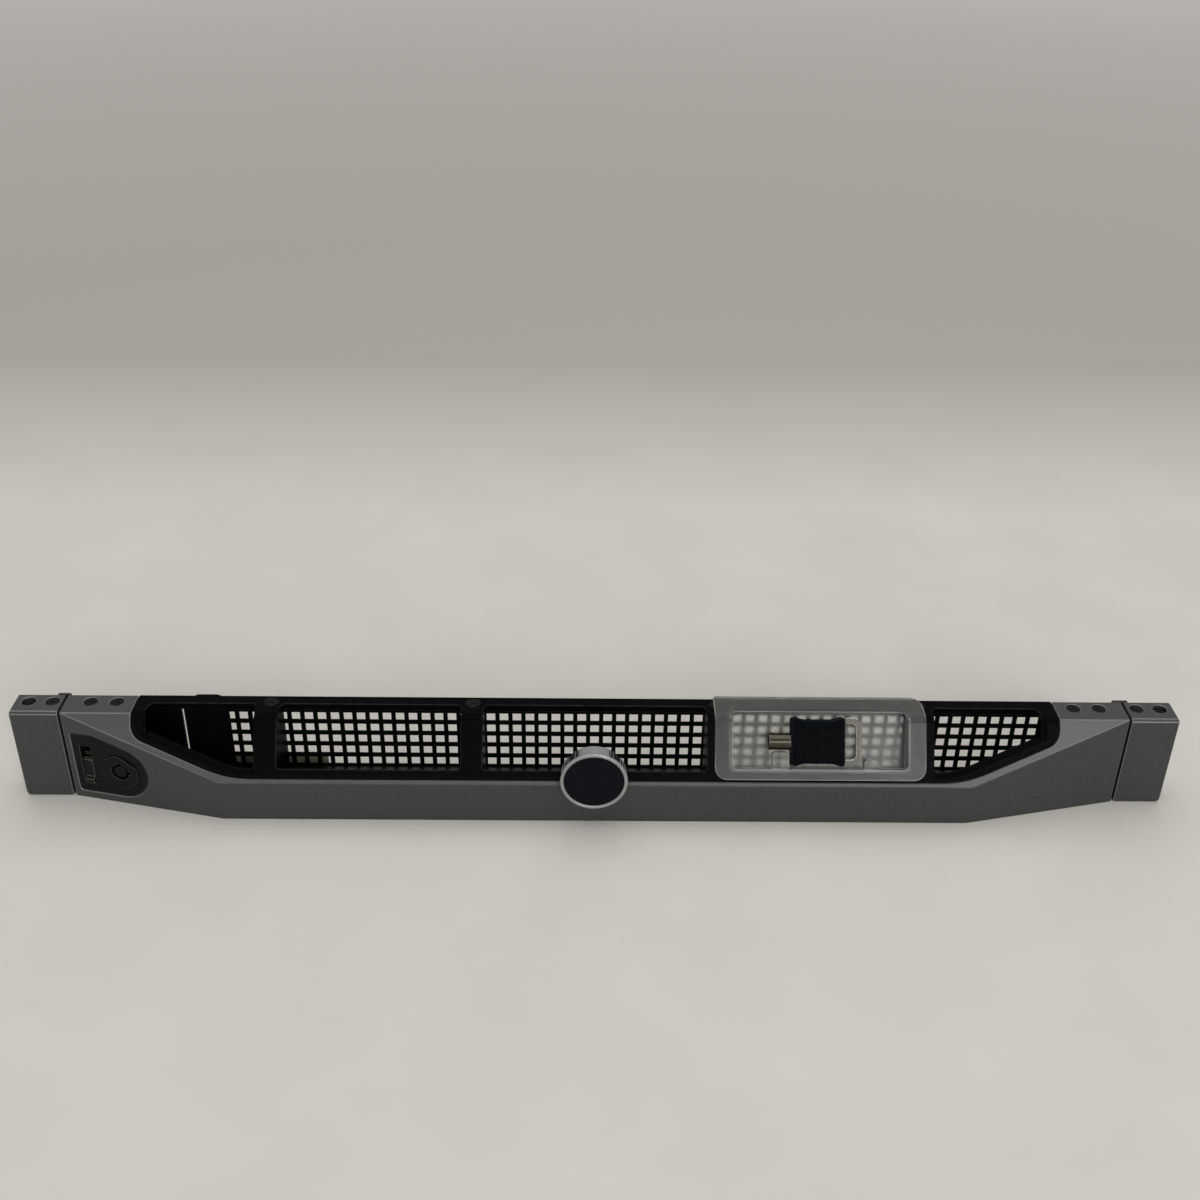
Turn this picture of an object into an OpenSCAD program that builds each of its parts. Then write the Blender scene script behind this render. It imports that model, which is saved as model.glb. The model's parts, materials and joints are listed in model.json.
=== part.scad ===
// One-unit server front bezel: a moulded fascia with a slanted window frame,
// a perforated grille, a key lock, a release latch, two end caps and a key
// carrier that clips over one window.
// X runs along the bezel, +Y into the rack, +Z up.
// The origin is the middle of the bottom edge, on the rear plane of the shells.

/* [Overall] */
// Width over both end caps
overall_w = 482.4; // [470:0.1:490]
// Height of the front
overall_h = 42.8; // [42:0.1:44]
// Depth of the end caps and of the flat tops
end_depth = 13; // [12:0.5:15]
// Depth of the lip in the middle
lip_depth = 28; // [26:0.5:32]
// Height of the lip's front face
lip_h = 18.8; // [17:0.2:20]
// Length of each slanted end, along the bezel
end_run = 65.4; // [60:0.2:72]
// Radius of the bends at the ends of the straight lip
bend_r = 16; // [8:1:24]
// Wall of the fascia
wall = 2; // [1.6:0.1:2.2]

/* [End caps] */
// Width of one end cap
cap_w = 19.8; // [19:0.1:21]
// Slot between an end cap and the fascia
cap_gap = 1; // [0.8:0.1:1.6]
// Bevel along the top front edge of a cap
cap_bevel = 1.1; // [0.6:0.1:1.6]
// Round at the outer bottom corner of a cap
cap_round = 2.2; // [1:0.1:4]
// Distance of the cap screw from the fascia's end
cap_screw_x = 5.2; // [5:0.1:6]
// Distance of the fascia's outer screws from its ends
fascia_screw_in = 10.6; // [9:0.1:11]
// Distance between the two fascia screws at each end
fascia_screw_pitch = 10.8; // [9.5:0.1:11.2]
// Distance of the spare hole from the fascia's end
cap_hole_x = 15; // [14:0.1:15.5]

/* [Window frame] */
// Distance of the frame from the fascia's end, along the top
frame_end = 29.2; // [28.4:0.1:32]
// Height at which the frame's outline turns inwards
frame_shoulder = 34.4; // [33:0.2:36]
// Height of the frame's lower edge on the slanted face
frame_low = 20.1; // [19.5:0.1:21]
// Length of the frame's diagonal sides, along the bezel
frame_run = 39.2; // [37:0.2:42]
// Radius of the frame's outline where its diagonal meets its lower edge
frame_bend = 55; // [12:1:70]
// Fit between the frame and the fascia
frame_fit = 0.22; // [0.1:0.02:0.3]
// Thickness of the frame's slanted face
frame_t = 2; // [1.6:0.1:2.4]
// Depth of the top rail
top_rail_d = 5.3; // [5:0.1:6]
// Height of the top rail
top_rail_h = 3.3; // [2.8:0.1:3.6]
// Offset of all the windows along the bezel
window_shift = -0.8; // [-1:0.1:1]
// Half length of the centre window
window_a = 46.3; // [44:0.1:48]
// Width of the mullions beside the centre window
mullion_in = 9; // [8:0.1:10]
// Width of the mullions beside the end windows
mullion_out = 9.5; // [8:0.1:10]
// Length of the end windows along the top
end_window_w = 44.6; // [43:0.2:48]
// Width of the frame beside an end window
window_side = 6.5; // [6:0.1:7.5]
// Height of the windows' lower edge on the slanted face
window_low = 23.8; // [23.4:0.1:24.4]
// Width of the chamfer round the end windows
window_bevel = 2.2; // [1:0.1:2.4]
// Height of an end window's diagonal edge over the frame's outline
window_drop = 5.2; // [4.8:0.1:5.6]
// Depth of the chamfer along the frame's top edge
frame_edge = 1.8; // [1:0.1:2.4]

/* [Grille] */
// Sheet thickness
grille_t = 0.8; // [0.5:0.1:1]
// Pitch of the holes along the bezel
pitch_x = 5.47; // [5.3:0.01:5.6]
// Pitch of the rows
pitch_z = 5.76; // [5.5:0.02:5.9]
// Width of a hole
hole_w = 3.65; // [3.2:0.05:4.4]
// Height of a hole
hole_h = 3.9; // [3.4:0.1:4.8]
// Rows of holes
rows = 5; // [3:1:5]
// Height of the middle row over the middle of the sheet
grille_up = 1.1; // [0.5:0.1:1.6]

/* [Lock] */
// Distance of the lock from the fascia's end, along the slanted front
lock_s = 22.9; // [22.5:0.1:23.5]
// Height of the lock
lock_z = 16.3; // [15.8:0.1:17]
// Radius of the plate around the lock
plate_r = 12.4; // [11.5:0.1:12.6]
// Diameter of the lock's collar
collar_d = 17; // [15:0.2:18]
// Diameter of the lock's barrel
barrel_d = 12; // [11:0.2:12.4]
// Diameter of the turning core
core_d = 7; // [6.8:0.1:7.4]
// Gap round the turning core
core_gap = 0.25; // [0.2:0.05:0.35]
// Diameter of the post inside the keyway
post_d = 5.2; // [4.6:0.1:5.3]
// Length of the cam, from the lock's axis to its tip
cam_len = 10.6; // [9:0.1:11]

/* [Latch] */
// Distance of the latch slot's middle from the fascia's end
latch_s = 8.2; // [8:0.1:8.6]
// Width of the latch slot
slot_w = 4.6; // [4.2:0.1:5]
// Bottom of the latch slot
slot_z0 = 8; // [7.5:0.1:8.5]
// Top of the latch slot
slot_z1 = 26.7; // [26:0.1:27.4]
// Travel of the latch
latch_travel = 6; // [4:0.1:6]
// Clearance round the latch
latch_gap = 0.3; // [0.2:0.05:0.4]
// Outer diameter of the return spring
spring_d = 4.2; // [3.8:0.1:4.6]
// Wire of the return spring
spring_wire = 0.5; // [0.4:0.05:0.6]

/* [Badge] */
// Diameter of the badge's ring
badge_d = 27.7; // [26:0.1:29]
// Distance of the badge from the middle of the bezel
badge_x = -1.1; // [-3:0.1:3]
// Height of the badge's centre
badge_z = 23.8; // [23:0.1:25]
// Width of the badge's ring
badge_ring_w = 1.5; // [1.2:0.1:2.4]
// Distance that the badge stands in front of the lip
badge_out = 4.5; // [4:0.1:6]
// Distance that the badge reaches back over the lip
badge_back = 2; // [1:0.1:3]

/* [Brackets and screws] */
// Thickness of the steel brackets
steel_t = 1.5; // [1:0.1:1.6]
// Diameter of a screw's shank
screw_d = 2.9; // [2.5:0.1:3]
// Diameter of a screw's head
head_d = 5.6; // [5:0.1:5.8]
// Height of a screw's head
head_h = 1.4; // [1:0.1:1.5]
// Length of a screw below its head
screw_len = 5; // [4:0.5:6]
// Clearance round a screw
screw_gap = 0.1; // [0.05:0.05:0.2]

/* [Key carrier] */
// Thickness of the carrier's sheet
carrier_t = 0.9; // [0.8:0.1:1.2]
// Width that the flange laps over a window on each side
carrier_lap = 5.9; // [5:0.1:6.4]
// Length of the flange down the slanted face
carrier_v = 25.6; // [24:0.2:26]
// Depth of the tray
tray_d = 7.3; // [7:0.1:7.5]
// Wall of the tray
tray_t = 0.9; // [0.7:0.1:1]
// Outer diameter of the key's tube
key_d = 7; // [6.6:0.1:7.3]

/* [Hidden] */
$fn = 64;
eps = 0.01;

body_half = overall_w/2 - cap_w - cap_gap;
lip_half = body_half - end_run;
// Half lengths of the frame, along its top and its lower edge
frame_half = body_half - frame_end;
frame_low_half = frame_half - frame_run;
// Ends of the windows, from the middle of the centre window
window_b = window_a + mullion_in;
window_e = frame_half - window_side;
window_d = window_e - end_window_w;
window_c = window_d - mullion_out;
// Angle of the slanted fronts in plan, and the rise of the slanted face
face_a = atan((lip_depth - end_depth)/(body_half - lip_half));
rise = (overall_h - lip_h)/(lip_depth - end_depth);
rise_n = sqrt(1 + rise*rise);
tilt = atan(1/rise);
// Length of the windows down the slanted face
window_v = (overall_h - window_low)/cos(tilt);

// Posts of the frame that hold the grille: radius, heads and heights
post_r = 1.3;
post_head_r = 2.1;
post_head_t = 0.9;
post_z = [17.5, 30];

// Corners of the diagonal part of the frame's outline, and its slope
frame_diag = (frame_shoulder - frame_low)/(frame_half - frame_low_half);
window_top = overall_h - top_rail_h;
// Width that a window's open top narrows by at each end, beside the top rail
window_flare = 1.7;
frame_wall = 1.6;
cross_t = 2;
duct_rear_z = 7.4;
// Black plate beside the lock: its left end, from the middle, the slit beside it
// and the left end of the perforated sheet, where it stops
blank_x0 = window_e - window_shift - 12.2;
blank_slit = 0.7;
grille_x0 = blank_x0 - 19;
mullion_mid_1 = (window_c + window_d)/2;
mullion_mid_2 = (window_a + window_b)/2;
frame_screw_x = [for (x = [-mullion_mid_1 + 0.8, -mullion_mid_2,
                           mullion_mid_2, mullion_mid_1 - 0.8]) x + window_shift];
frame_screw_y = -3.6;
// Posts at the mullions, from the middle of the centre window
post_x = [mullion_mid_2, mullion_mid_1 + 1.75];
grille_y = -grille_t;
grille_z0 = wall + 0.1;
grille_z1 = window_top - 0.2;
grille_mid = (grille_z0 + grille_z1)/2 + grille_up;

flange_y = wall + 0.2;
flange_t = 1.3;
barrel_y1 = 12.4;
keyway_y = 6;
cam_t = 1.4;
cam_y = barrel_y1 + 0.3;
nut_t = 2;

shoe_y = flange_y + flange_t + latch_gap;
shoe_t = 1.6;
shoe_z0 = 6.4;
shoe_z1 = 21.4;
spring_y = shoe_y + 3.4;
spring_top = 31.4;
hook_z = 12;
carrier_fit = 0.1;
// Height of the tray's upper wall over the top edge, along the slope
tray_up = 3.2;
// The key's axis in the tray: down the slope, and below the face
key_v = 9.9;
key_w = -2.85;
// Left ends of the key's tube and grip, and the grip's right end
key_x = (window_b + window_c)/2 + window_shift - 21.2;
bow_x0 = key_x + 9;
bow_x1 = bow_x0 + 22.6;
bow_h = 10.3;
// Length, width and thickness of the key's loop
loop_len = 7.2;
loop_w = 2.7;
loop_t = 1.6;
// Distance that the hooks reach behind the rear plane
hook_reach = 8.5;
// Inner end of the brackets, and the right hooks, from the fascia's end
bracket_in = 27;
hook_in = 12;
hook_zs = [9, overall_h - 15.8];
// Inner end of the steel strip behind the grille, from the middle
strip_x = body_half - 105.4;
strip_top = 12.8;

// Rounded corner polygon: each corner is [x, y, radius].
function corner(a, b, c, r) =
    let (u = (a - b)/norm(a - b), v = (c - b)/norm(c - b),
         half = acos(max(-1, min(1, u*v)))/2,
         d = r/tan(half), m = b + (u + v)/norm(u + v)*r/sin(half),
         p = b + u*d, q = b + v*d,
         a0 = atan2(p.y - m.y, p.x - m.x),
         turn = atan2(q.y - m.y, q.x - m.x) - a0,
         sweep = turn > 180 ? turn - 360 : (turn < -180 ? turn + 360 : turn))
    [for (i = [0:5]) m + r*[cos(a0 + sweep*i/5), sin(a0 + sweep*i/5)]];

function rounded(pts) =
    let (n = len(pts))
    [for (i = [0:n - 1])
        let (a = pts[(i + n - 1) % n], b = pts[i], c = pts[(i + 1) % n])
        each (b[2] > 0
            ? corner([a[0], a[1]], [b[0], b[1]], [c[0], c[1]], b[2])
            : [[b[0], b[1]]])];

function flip(pts) = [for (i = [len(pts) - 1:-1:0]) [-pts[i][0], pts[i][1], pts[i][2]]];

// Plan of the body, with its walls moved in by i
function plan(i, rear) = let (
    x0 = body_half - i,
    y0 = -end_depth - i*tan(face_a) + i/cos(face_a),
    x1 = lip_half - i*tan(face_a/2),
    half = [[x0, rear, 0], [x0, y0, 0], [x1, -lip_depth + i, bend_r - i]],
    other = flip(half))
    rounded(concat(half, other));

// Side section of the body, with its walls moved in by i
function side(i, rear) = let (
    top = overall_h - i,
    y_top = -end_depth + i*(rise_n - 1)/rise,
    y_far = -lip_depth - 4,
    z_far = overall_h + rise*(y_far + end_depth) - i*rise_n)
    [[rear, i], [y_far, i], [y_far, z_far], [y_top, top], [rear, top]];

module envelope(i, rear = 0) {
    intersection() {
        translate([0, 0, -1])
            linear_extrude(overall_h + 2) polygon(plan(i, rear));
        rotate([90, 0, 90])
            translate([0, 0, -overall_w/2])
                linear_extrude(overall_w) polygon(side(i, rear));
    }
}

// Extrudes an outline given in X and Z from y0 to y1.
module along_y(y0, y1) {
    translate([0, y1, 0]) rotate([90, 0, 0]) linear_extrude(y1 - y0) children();
}

// Extrudes an outline given in Y and Z from x0 to x1.
module along_x(x0, x1) {
    translate([x0, 0, 0]) rotate([90, 0, 90]) linear_extrude(x1 - x0) children();
}

// Local frame of the left slanted front: X along it, Y inwards, Z up.
module on_front() {
    translate([-body_half, -end_depth, 0]) rotate([0, 0, -face_a]) children();
}

// Local frame of the slanted face: X along the bezel, Y up the face from its
// top edge, Z outwards.
module on_slope() {
    translate([0, -end_depth, overall_h]) rotate([90 - tilt, 0, 0]) children();
}

// Outline of the window frame, moved in by i
module frame_outline(i) {
    side_x = frame_half - i;
    low_z = frame_low + i;
    half_low = frame_low_half - i*tan(atan(frame_diag)/2);
    shoulder = frame_shoulder + i*(1/cos(atan(frame_diag)) - frame_diag);
    right = [[side_x, overall_h + 2, 0], [side_x, shoulder, 6.5], [half_low, low_z, frame_bend]];
    polygon(rounded(concat(right, flip(right))));
}

// Outline of an upright window on the slanted face, between x0 and x1
module window(x0, x1) {
    polygon(rounded([[x0, 0, 0], [x0, -window_v, 1.6], [x1, -window_v, 1.6], [x1, 0, 0]]));
}

// Outline of an end window, moved out by g at its edge, its diagonal and its
// outer side; the diagonal follows the frame's outline
module end_window(g) {
    drop = window_drop - g*cos(tilt)/cos(atan(frame_diag/cos(tilt)));
    side_x = window_e + g;
    low_v = window_v + g;
    cut_x = frame_low_half + (overall_h - low_v*cos(tilt) - frame_low - drop)/frame_diag;
    edge_z = frame_low + drop + (side_x - frame_low_half)*frame_diag;
    polygon(rounded([[window_d, 0, 0], [window_d, -low_v, 1.6], [cut_x, -low_v, frame_bend/2],
                     [side_x, -(overall_h - edge_z)/cos(tilt), 1.5 + g/2], [side_x, 0, 0]]));
}

// Plan of one window's open top, in front of the top rail
module window_top_plan(x0, x1) {
    front = -lip_depth - 2;
    flare = window_flare;
    flare_y = -top_rail_d - 1.4*flare;
    polygon(rounded([[x0 + flare, -top_rail_d, 0.8], [x0, flare_y, 2], [x0, front, 0],
                     [x1, front, 0], [x1, flare_y, 2], [x1 - flare, -top_rail_d, 0.8]]));
}

// Section above the duct's floor, which falls from the windows' lower edge to the grille
module duct_section(drop) {
    y_edge = -end_depth - window_v*sin(tilt);
    z_edge = overall_h - window_v*cos(tilt) - frame_t;
    z_rear = duct_rear_z - drop;
    polygon([[grille_y, z_rear], [y_edge, z_edge - drop], [y_edge - 9, z_edge - drop],
             [y_edge - 9, overall_h + 3], [grille_y, overall_h + 3]]);
}

module counterbore(x, y) {
    translate([x, y, overall_h - head_h])
        cylinder(d = head_d + 2*screw_gap, h = head_h + 1);
    translate([x, y, overall_h - screw_len - 4])
        cylinder(d = screw_d + 2*screw_gap, h = screw_len + 5);
}

module screw(x, y) {
    translate([x, y, overall_h - head_h]) difference() {
        union() {
            cylinder(d = head_d, h = head_h - 0.1);
            translate([0, 0, -screw_len]) cylinder(d = screw_d, h = screw_len + eps);
        }
        for (a = [0, 90]) rotate([0, 0, a])
            translate([-1.5, -0.3, head_h - 0.9]) cube([3, 0.6, 2]);
    }
}

module front_fascia() {
    color([0.27, 0.28, 0.29]) difference() {
        union() {
            difference() {
                envelope(0);
                envelope(wall, rear = 1);
            }
            fascia_ribs();
        }
        along_y(-lip_depth - 1, 1) frame_outline(0);
        for (s = [-1, 1]) {
            for (x = fascia_screw_x()) counterbore(s*x, screw_y());
            bracket_notch(s);
        }
        on_front() {
            along_y(-1, wall + 1) plate_outline(frame_fit);
        }
        for (x = badge_post_x()) translate([badge_x + x, -lip_depth - 1, badge_post_z()])
            rotate([-90, 0, 0]) cylinder(d = 3.1, h = wall + 2);
    }
}

// Ribs that tie the lip to the bottom wall
module fascia_ribs() {
    y0 = -lip_depth + wall;
    count = 11;
    for (i = [0:count - 1]) {
        x = -lip_half + 12 + i*(2*lip_half - 24)/(count - 1);
        along_x(x - 0.6, x + 0.6)
            polygon([[y0 - eps, wall - eps], [y0 + 7, wall - eps], [y0 - eps, lip_h - 5]]);
    }
}

function fascia_screw_x() = [body_half - fascia_screw_in,
    body_half - fascia_screw_in - fascia_screw_pitch];
function screw_y() = -end_depth*0.36;
function badge_post_x() = [-6, 6];
function badge_post_z() = lip_h - 4.3;

// Notch that lets a bracket pass from an end cap into the fascia
module bracket_notch(s) {
    x0 = body_half - wall - 1;
    w = wall + cap_gap + 4;
    translate([s > 0 ? x0 : -x0 - w, -bracket_d() - 0.2, overall_h - wall - steel_t - 0.1])
        cube([w, bracket_d() + 2, steel_t + 0.1]);
}

function bracket_d() = end_depth - 4;

module window_frame() {
    color([0.09, 0.09, 0.09]) difference() {
        union() {
            intersection() {
                difference() {
                    envelope(0);
                    envelope(frame_t, rear = 1);
                }
                along_y(-lip_depth - 1, 1) frame_outline(frame_fit);
            }
            intersection() {
                frame_walls();
                union() {
                    envelope(wall + frame_fit);
                    intersection() {
                        envelope(0.5);
                        along_y(-lip_depth - 1, 1) frame_outline(frame_fit);
                    }
                }
            }
            along_y(-top_rail_d, 0) translate([-frame_half + 2, window_top])
                square([2*frame_half - 4, top_rail_h - 0.5]);
        }
        windows_cut();
        top_edge_cut();
        rim_groove();
        for (x = frame_screw_x) counterbore(x, frame_screw_y);
    }
    color([0.09, 0.09, 0.09]) {
        grille_posts(post_r, grille_y - eps, post_head_t/2);
        grille_posts(post_head_r, 0, post_head_t);
    }
}

// Walls behind the slanted face: beside each window, the floor of the duct and
// the cross walls that carry the grille's posts
module frame_walls() {
    intersection() {
        along_x(-frame_half, frame_half) duct_section(frame_wall);
        translate([window_shift, 0, 0]) for (s = [0, 1]) mirror([s, 0, 0]) {
            for (x = [window_a, window_b - frame_wall, window_c, window_d - frame_wall])
                along_y(-lip_depth, grille_y) translate([x, 0]) square([frame_wall, overall_h]);
            for (x = [[window_a, window_b], [window_c, window_d]])
                along_y(grille_y - cross_t, grille_y) translate([x[0], post_z[0] - 4])
                    square([x[1] - x[0], post_z[1] - post_z[0] + 8]);
        }
    }
    along_x(-blank_x0, frame_half - 6) difference() {
        duct_section(frame_wall);
        duct_section(0);
    }
    for (x = frame_screw_x) translate([x, frame_screw_y + 0.2, window_top - 4])
        intersection() {
            cylinder(d = 5.2, h = 5);
            translate([-3, -3, 0]) cube([6, 3 - frame_screw_y + grille_y - 0.2, 6]);
        }
}

// Openings of the five windows, with their open tops in front of the top rail
module windows_cut() {
    tops = [[-window_a, window_a], [window_b, window_c], [window_d, window_e],
            [-window_c, -window_b], [-window_e, -window_d]];
    translate([window_shift, 0, 0]) {
        on_slope() translate([0, 0, -frame_t - 0.5]) linear_extrude(frame_t + 3) {
            window(-window_a, window_a);
            for (s = [0, 1]) mirror([s, 0]) {
                window(window_b, window_c);
                end_window(0);
            }
        }
        for (s = [0, 1]) mirror([s, 0, 0]) end_window_bevel();
        for (t = tops) {
            translate([t[0], -end_depth - 6, window_top - 4])
                cube([t[1] - t[0], end_depth + 6 + grille_y, 4]);
            translate([0, 0, window_top - eps]) linear_extrude(top_rail_h + 1)
                window_top_plan(t[0], t[1]);
        }
    }
}

// Chamfer from an end window's edge out to the frame's face
module end_window_bevel() {
    depth = window_bevel*0.55;
    over = 0.3;
    on_slope() hull() {
        translate([0, 0, -depth]) linear_extrude(eps) end_window(0);
        translate([0, 0, over]) linear_extrude(eps) end_window(window_bevel*(1 + over/depth));
    }
}

// Takes the sharp edge off the top front of the frame
module top_edge_cut() {
    y0 = -end_depth + frame_edge;
    y1 = -end_depth - frame_edge/2;
    along_x(-frame_half - 1, frame_half + 1)
        polygon([[y0, overall_h + eps], [y1, overall_h + rise*(y1 + end_depth)],
                 [y1 - 2, overall_h - 2], [y1, overall_h + 2], [y0, overall_h + 2]]);
}

// Fine groove that runs round the frame's edge
module rim_groove() {
    intersection() {
        along_y(-lip_depth - 1, -end_depth - 1) difference() {
            frame_outline(1);
            frame_outline(1.5);
        }
        difference() {
            envelope(-1);
            envelope(0.5, rear = 1);
        }
    }
}

// Flat perforated sheet; the columns beside the frame's posts are left closed
module grille() {
    z0 = grille_z0;
    z1 = grille_z1;
    x0 = -grille_x0;
    x1 = frame_half - 1;
    first = floor((x0 - window_shift)/pitch_x + 0.4);
    last = floor((x1 - window_shift - hole_w)/pitch_x);
    columns = [for (c = [first:last]) if (min([for (p = post_x)
        abs(abs(c)*pitch_x - p)]) > post_r + hole_w/2 + 0.6) c*pitch_x + window_shift];
    color([0.05, 0.05, 0.05]) difference() {
        translate([x0, grille_y, z0]) cube([x1 - x0, grille_t, z1 - z0]);
        for (x = columns, r = [0:rows - 1])
            translate([x - hole_w/2, grille_y - 1,
                       grille_mid + (r - (rows - 1)/2)*pitch_z - hole_h/2])
                cube([hole_w, grille_t + 2, hole_h]);
        grille_posts(post_r + 0.15, grille_y - 1, 1);
    }
}

// Round posts at the mullions, between y0 and y1
module grille_posts(r, y0, y1) {
    for (s = [-1, 1], x = post_x, z = post_z)
        translate([s*x + window_shift, y0, z]) rotate([-90, 0, 0]) cylinder(r = r, h = y1 - y0);
}

// Shell of one end cap, drawn for the right side
module end_cap() {
    x0 = body_half + cap_gap;
    x1 = overall_w/2;
    difference() {
        intersection() {
            along_y(-end_depth, 0) polygon(rounded([[x0, 0, 0.6], [x1, 0, cap_round],
                [x1, overall_h, 0.8], [x0, overall_h, 0.6]]));
            along_x(x0 - 1, x1 + 1) polygon([[0, 0], [-end_depth + 0.5, 0], [-end_depth, 0.5],
                [-end_depth, overall_h - cap_bevel], [-end_depth + cap_bevel, overall_h],
                [0, overall_h]]);
        }
        translate([x0 + wall, -end_depth + wall, wall])
            cube([cap_w - 2*wall, end_depth + 1, overall_h - 2*wall]);
        counterbore(body_half + cap_screw_x, screw_y());
        translate([body_half + cap_hole_x, screw_y(), overall_h - wall - 1])
            cylinder(d = head_d + 2*screw_gap, h = wall + 2);
        bracket_notch(1);
    }
}

module right_end_cap() {
    color([0.27, 0.28, 0.29]) end_cap();
}

module left_end_cap() {
    color([0.27, 0.28, 0.29]) mirror([1, 0, 0]) end_cap();
}

// Steel bracket that carries an end cap, drawn for the right side; the tab that
// stands up behind the slot reaches tab_in behind the fascia and tab_out behind the cap
module bracket(tab_in, tab_out) {
    x_in = body_half - bracket_in;
    x_out = body_half + cap_gap + cap_w - wall - 0.3;
    z_top = overall_h - wall;
    holes = concat(fascia_screw_x(), [body_half + cap_screw_x, body_half + cap_hole_x]);
    difference() {
        union() {
            translate([x_in, -bracket_d(), z_top - steel_t])
                cube([x_out - x_in, bracket_d() + steel_t, steel_t]);
            along_y(0, steel_t) polygon(rounded([[x_in, 5, 2], [x_out, 5, 2],
                [x_out, z_top, 0], [x_in, z_top, 0]]));
            along_y(0, steel_t) polygon(rounded([[body_half - tab_in, z_top - 1, 0],
                [body_half + tab_out, z_top - 1, 0], [body_half + tab_out, overall_h, 0.8],
                [body_half - tab_in, overall_h, 0.8]]));
        }
        for (x = holes) translate([x, screw_y(), z_top - steel_t - 1])
            cylinder(d = screw_d + 2*screw_gap, h = steel_t + 2);
    }
}

module right_bracket() {
    hook_x = body_half - hook_in;
    color([0.45, 0.46, 0.44]) {
        bracket(3.4, 3.4);
        for (z = hook_zs) along_x(hook_x, hook_x + steel_t)
            polygon(rounded([[steel_t - eps, z, 0], [hook_reach - 2.2, z, 0],
                [hook_reach - 2.2, z - 3, 0.4], [hook_reach, z - 3, 0.8],
                [hook_reach, z + 5, 1.2], [steel_t - eps, z + 5, 0]]));
    }
}

// Left bracket: with a window for the latch, and a strip behind the grille
module left_bracket() {
    x0 = -body_half + bracket_in - 3;
    color([0.45, 0.46, 0.44]) difference() {
        union() {
            mirror([1, 0, 0]) bracket(0.8, 4.8);
            along_y(0, steel_t) polygon(rounded([[x0, 5, 0], [-strip_x, 5, 2],
                [-strip_x, strip_top, 2], [x0, strip_top, 0]]));
        }
        translate([-body_half + latch_s - 1.8, -1, hook_z - 5])
            cube([10, steel_t + 2, latch_travel + 13]);
    }
}

// Black plate in the plane of the grille, beside the lock, with a round-topped lug
module grille_blank() {
    z0 = wall + 0.1;
    mid = -(blank_x0 + grille_x0)/2 + 1;
    lug = 6.6;
    lug_z = window_top - 5.5;
    color([0.06, 0.06, 0.06]) {
        along_y(grille_y, 0) translate([-blank_x0, z0])
            square([blank_x0 - grille_x0 - 0.05, window_top - z0 - 0.2]);
        along_y(0, steel_t) polygon(rounded([[mid - lug, lug_z, 1], [mid + lug, lug_z, 1],
            [mid + lug, overall_h - 0.2, 3], [mid - lug, overall_h - 0.2, 3]]));
    }
}

// Cover over the back of the lock, between the bracket and the blank plate
module lock_cover() {
    t = 1.6;
    x0 = -body_half + bracket_in + 0.2;
    x1 = -blank_x0 - blank_slit;
    z0 = wall + 0.1;
    z1 = window_top - 0.2;
    color([0.07, 0.07, 0.07]) {
        along_y(-t, 0) translate([x0, z0]) square([x1 - x0, z1 - z0]);
        for (z = [z0, z1 - t]) translate([x0 + 4, -end_depth/2, z])
            cube([x1 - x0 - 4, end_depth/2, t]);
    }
}

module cap_screws() {
    color([0.08, 0.08, 0.08]) for (s = [-1, 1]) screw(s*(body_half + cap_screw_x), screw_y());
}

module fascia_screws() {
    color([0.08, 0.08, 0.08]) for (s = [-1, 1], x = fascia_screw_x()) screw(s*x, screw_y());
}

module frame_screws() {
    color([0.08, 0.08, 0.08]) for (x = frame_screw_x) screw(x, frame_screw_y);
}

// Teardrop outline of the lock plate, grown by g; its left edge stays
module plate_outline(g) {
    c = [lock_s, lock_z];
    r = plate_r + g;
    a = 90 - atan((overall_h - lip_h)/((body_half - lip_half)/cos(face_a)));
    p = c + r*[cos(a), sin(a)];
    s0 = 3 - min(g, 0.4);
    top_s = 12.8;
    top_z = p.y + (p.x - top_s)/tan(a);
    translate(c) circle(r = r);
    polygon(rounded([[s0, c.y - r, 1.5], [c.x, c.y - r, 0], [c.x, c.y, 0], [p.x, p.y, 0],
                     [top_s, top_z, 2], [s0, top_z - 0.2, 1.5]]));
}

module lock_plate() {
    color([0.1, 0.1, 0.1]) on_front() difference() {
        union() {
            along_y(0.3, flange_y + eps) plate_outline(0);
            along_y(flange_y, flange_y + flange_t) plate_outline(1.2);
            translate([latch_s - 3, flange_y + flange_t - eps, spring_top])
                cube([6, spring_y - flange_y - flange_t + 3, 1.5]);
        }
        along_y(-1, flange_y + flange_t + 1) translate([latch_s - slot_w/2, slot_z0])
            square([slot_w, slot_z1 - slot_z0]);
        translate([lock_s, -1, lock_z]) rotate([-90, 0, 0]) cylinder(d = barrel_d + 0.1, h = 10);
        translate([lock_s, -1, lock_z]) rotate([-90, 0, 0]) cylinder(d = collar_d + 0.1, h = 1.8);
    }
}

// Fixed barrel of the lock with its collar and keyway bore
module lock_barrel() {
    color([0.12, 0.12, 0.12]) on_front() translate([lock_s, 0, lock_z]) rotate([-90, 0, 0])
        difference() {
            union() {
                difference() {
                    translate([0, 0, -0.3]) cylinder(d = collar_d, h = 1.1);
                    rotate([0, 0, 35]) translate([-collar_d, -collar_d/2 - 0.9, -1])
                        cube([2*collar_d, 2.4, 3]);
                }
                translate([0, 0, -0.3]) cylinder(d = barrel_d, h = barrel_y1 + 0.3);
            }
            translate([0, 0, -1]) cylinder(d = core_d + 2*core_gap, h = barrel_y1 + 2);
            for (a = [0, 90]) rotate([0, 0, a])
                translate([-0.55, -core_d/2 - core_gap - 1.1, -1]) cube([1.1, 2, keyway_y]);
        }
}

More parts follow.
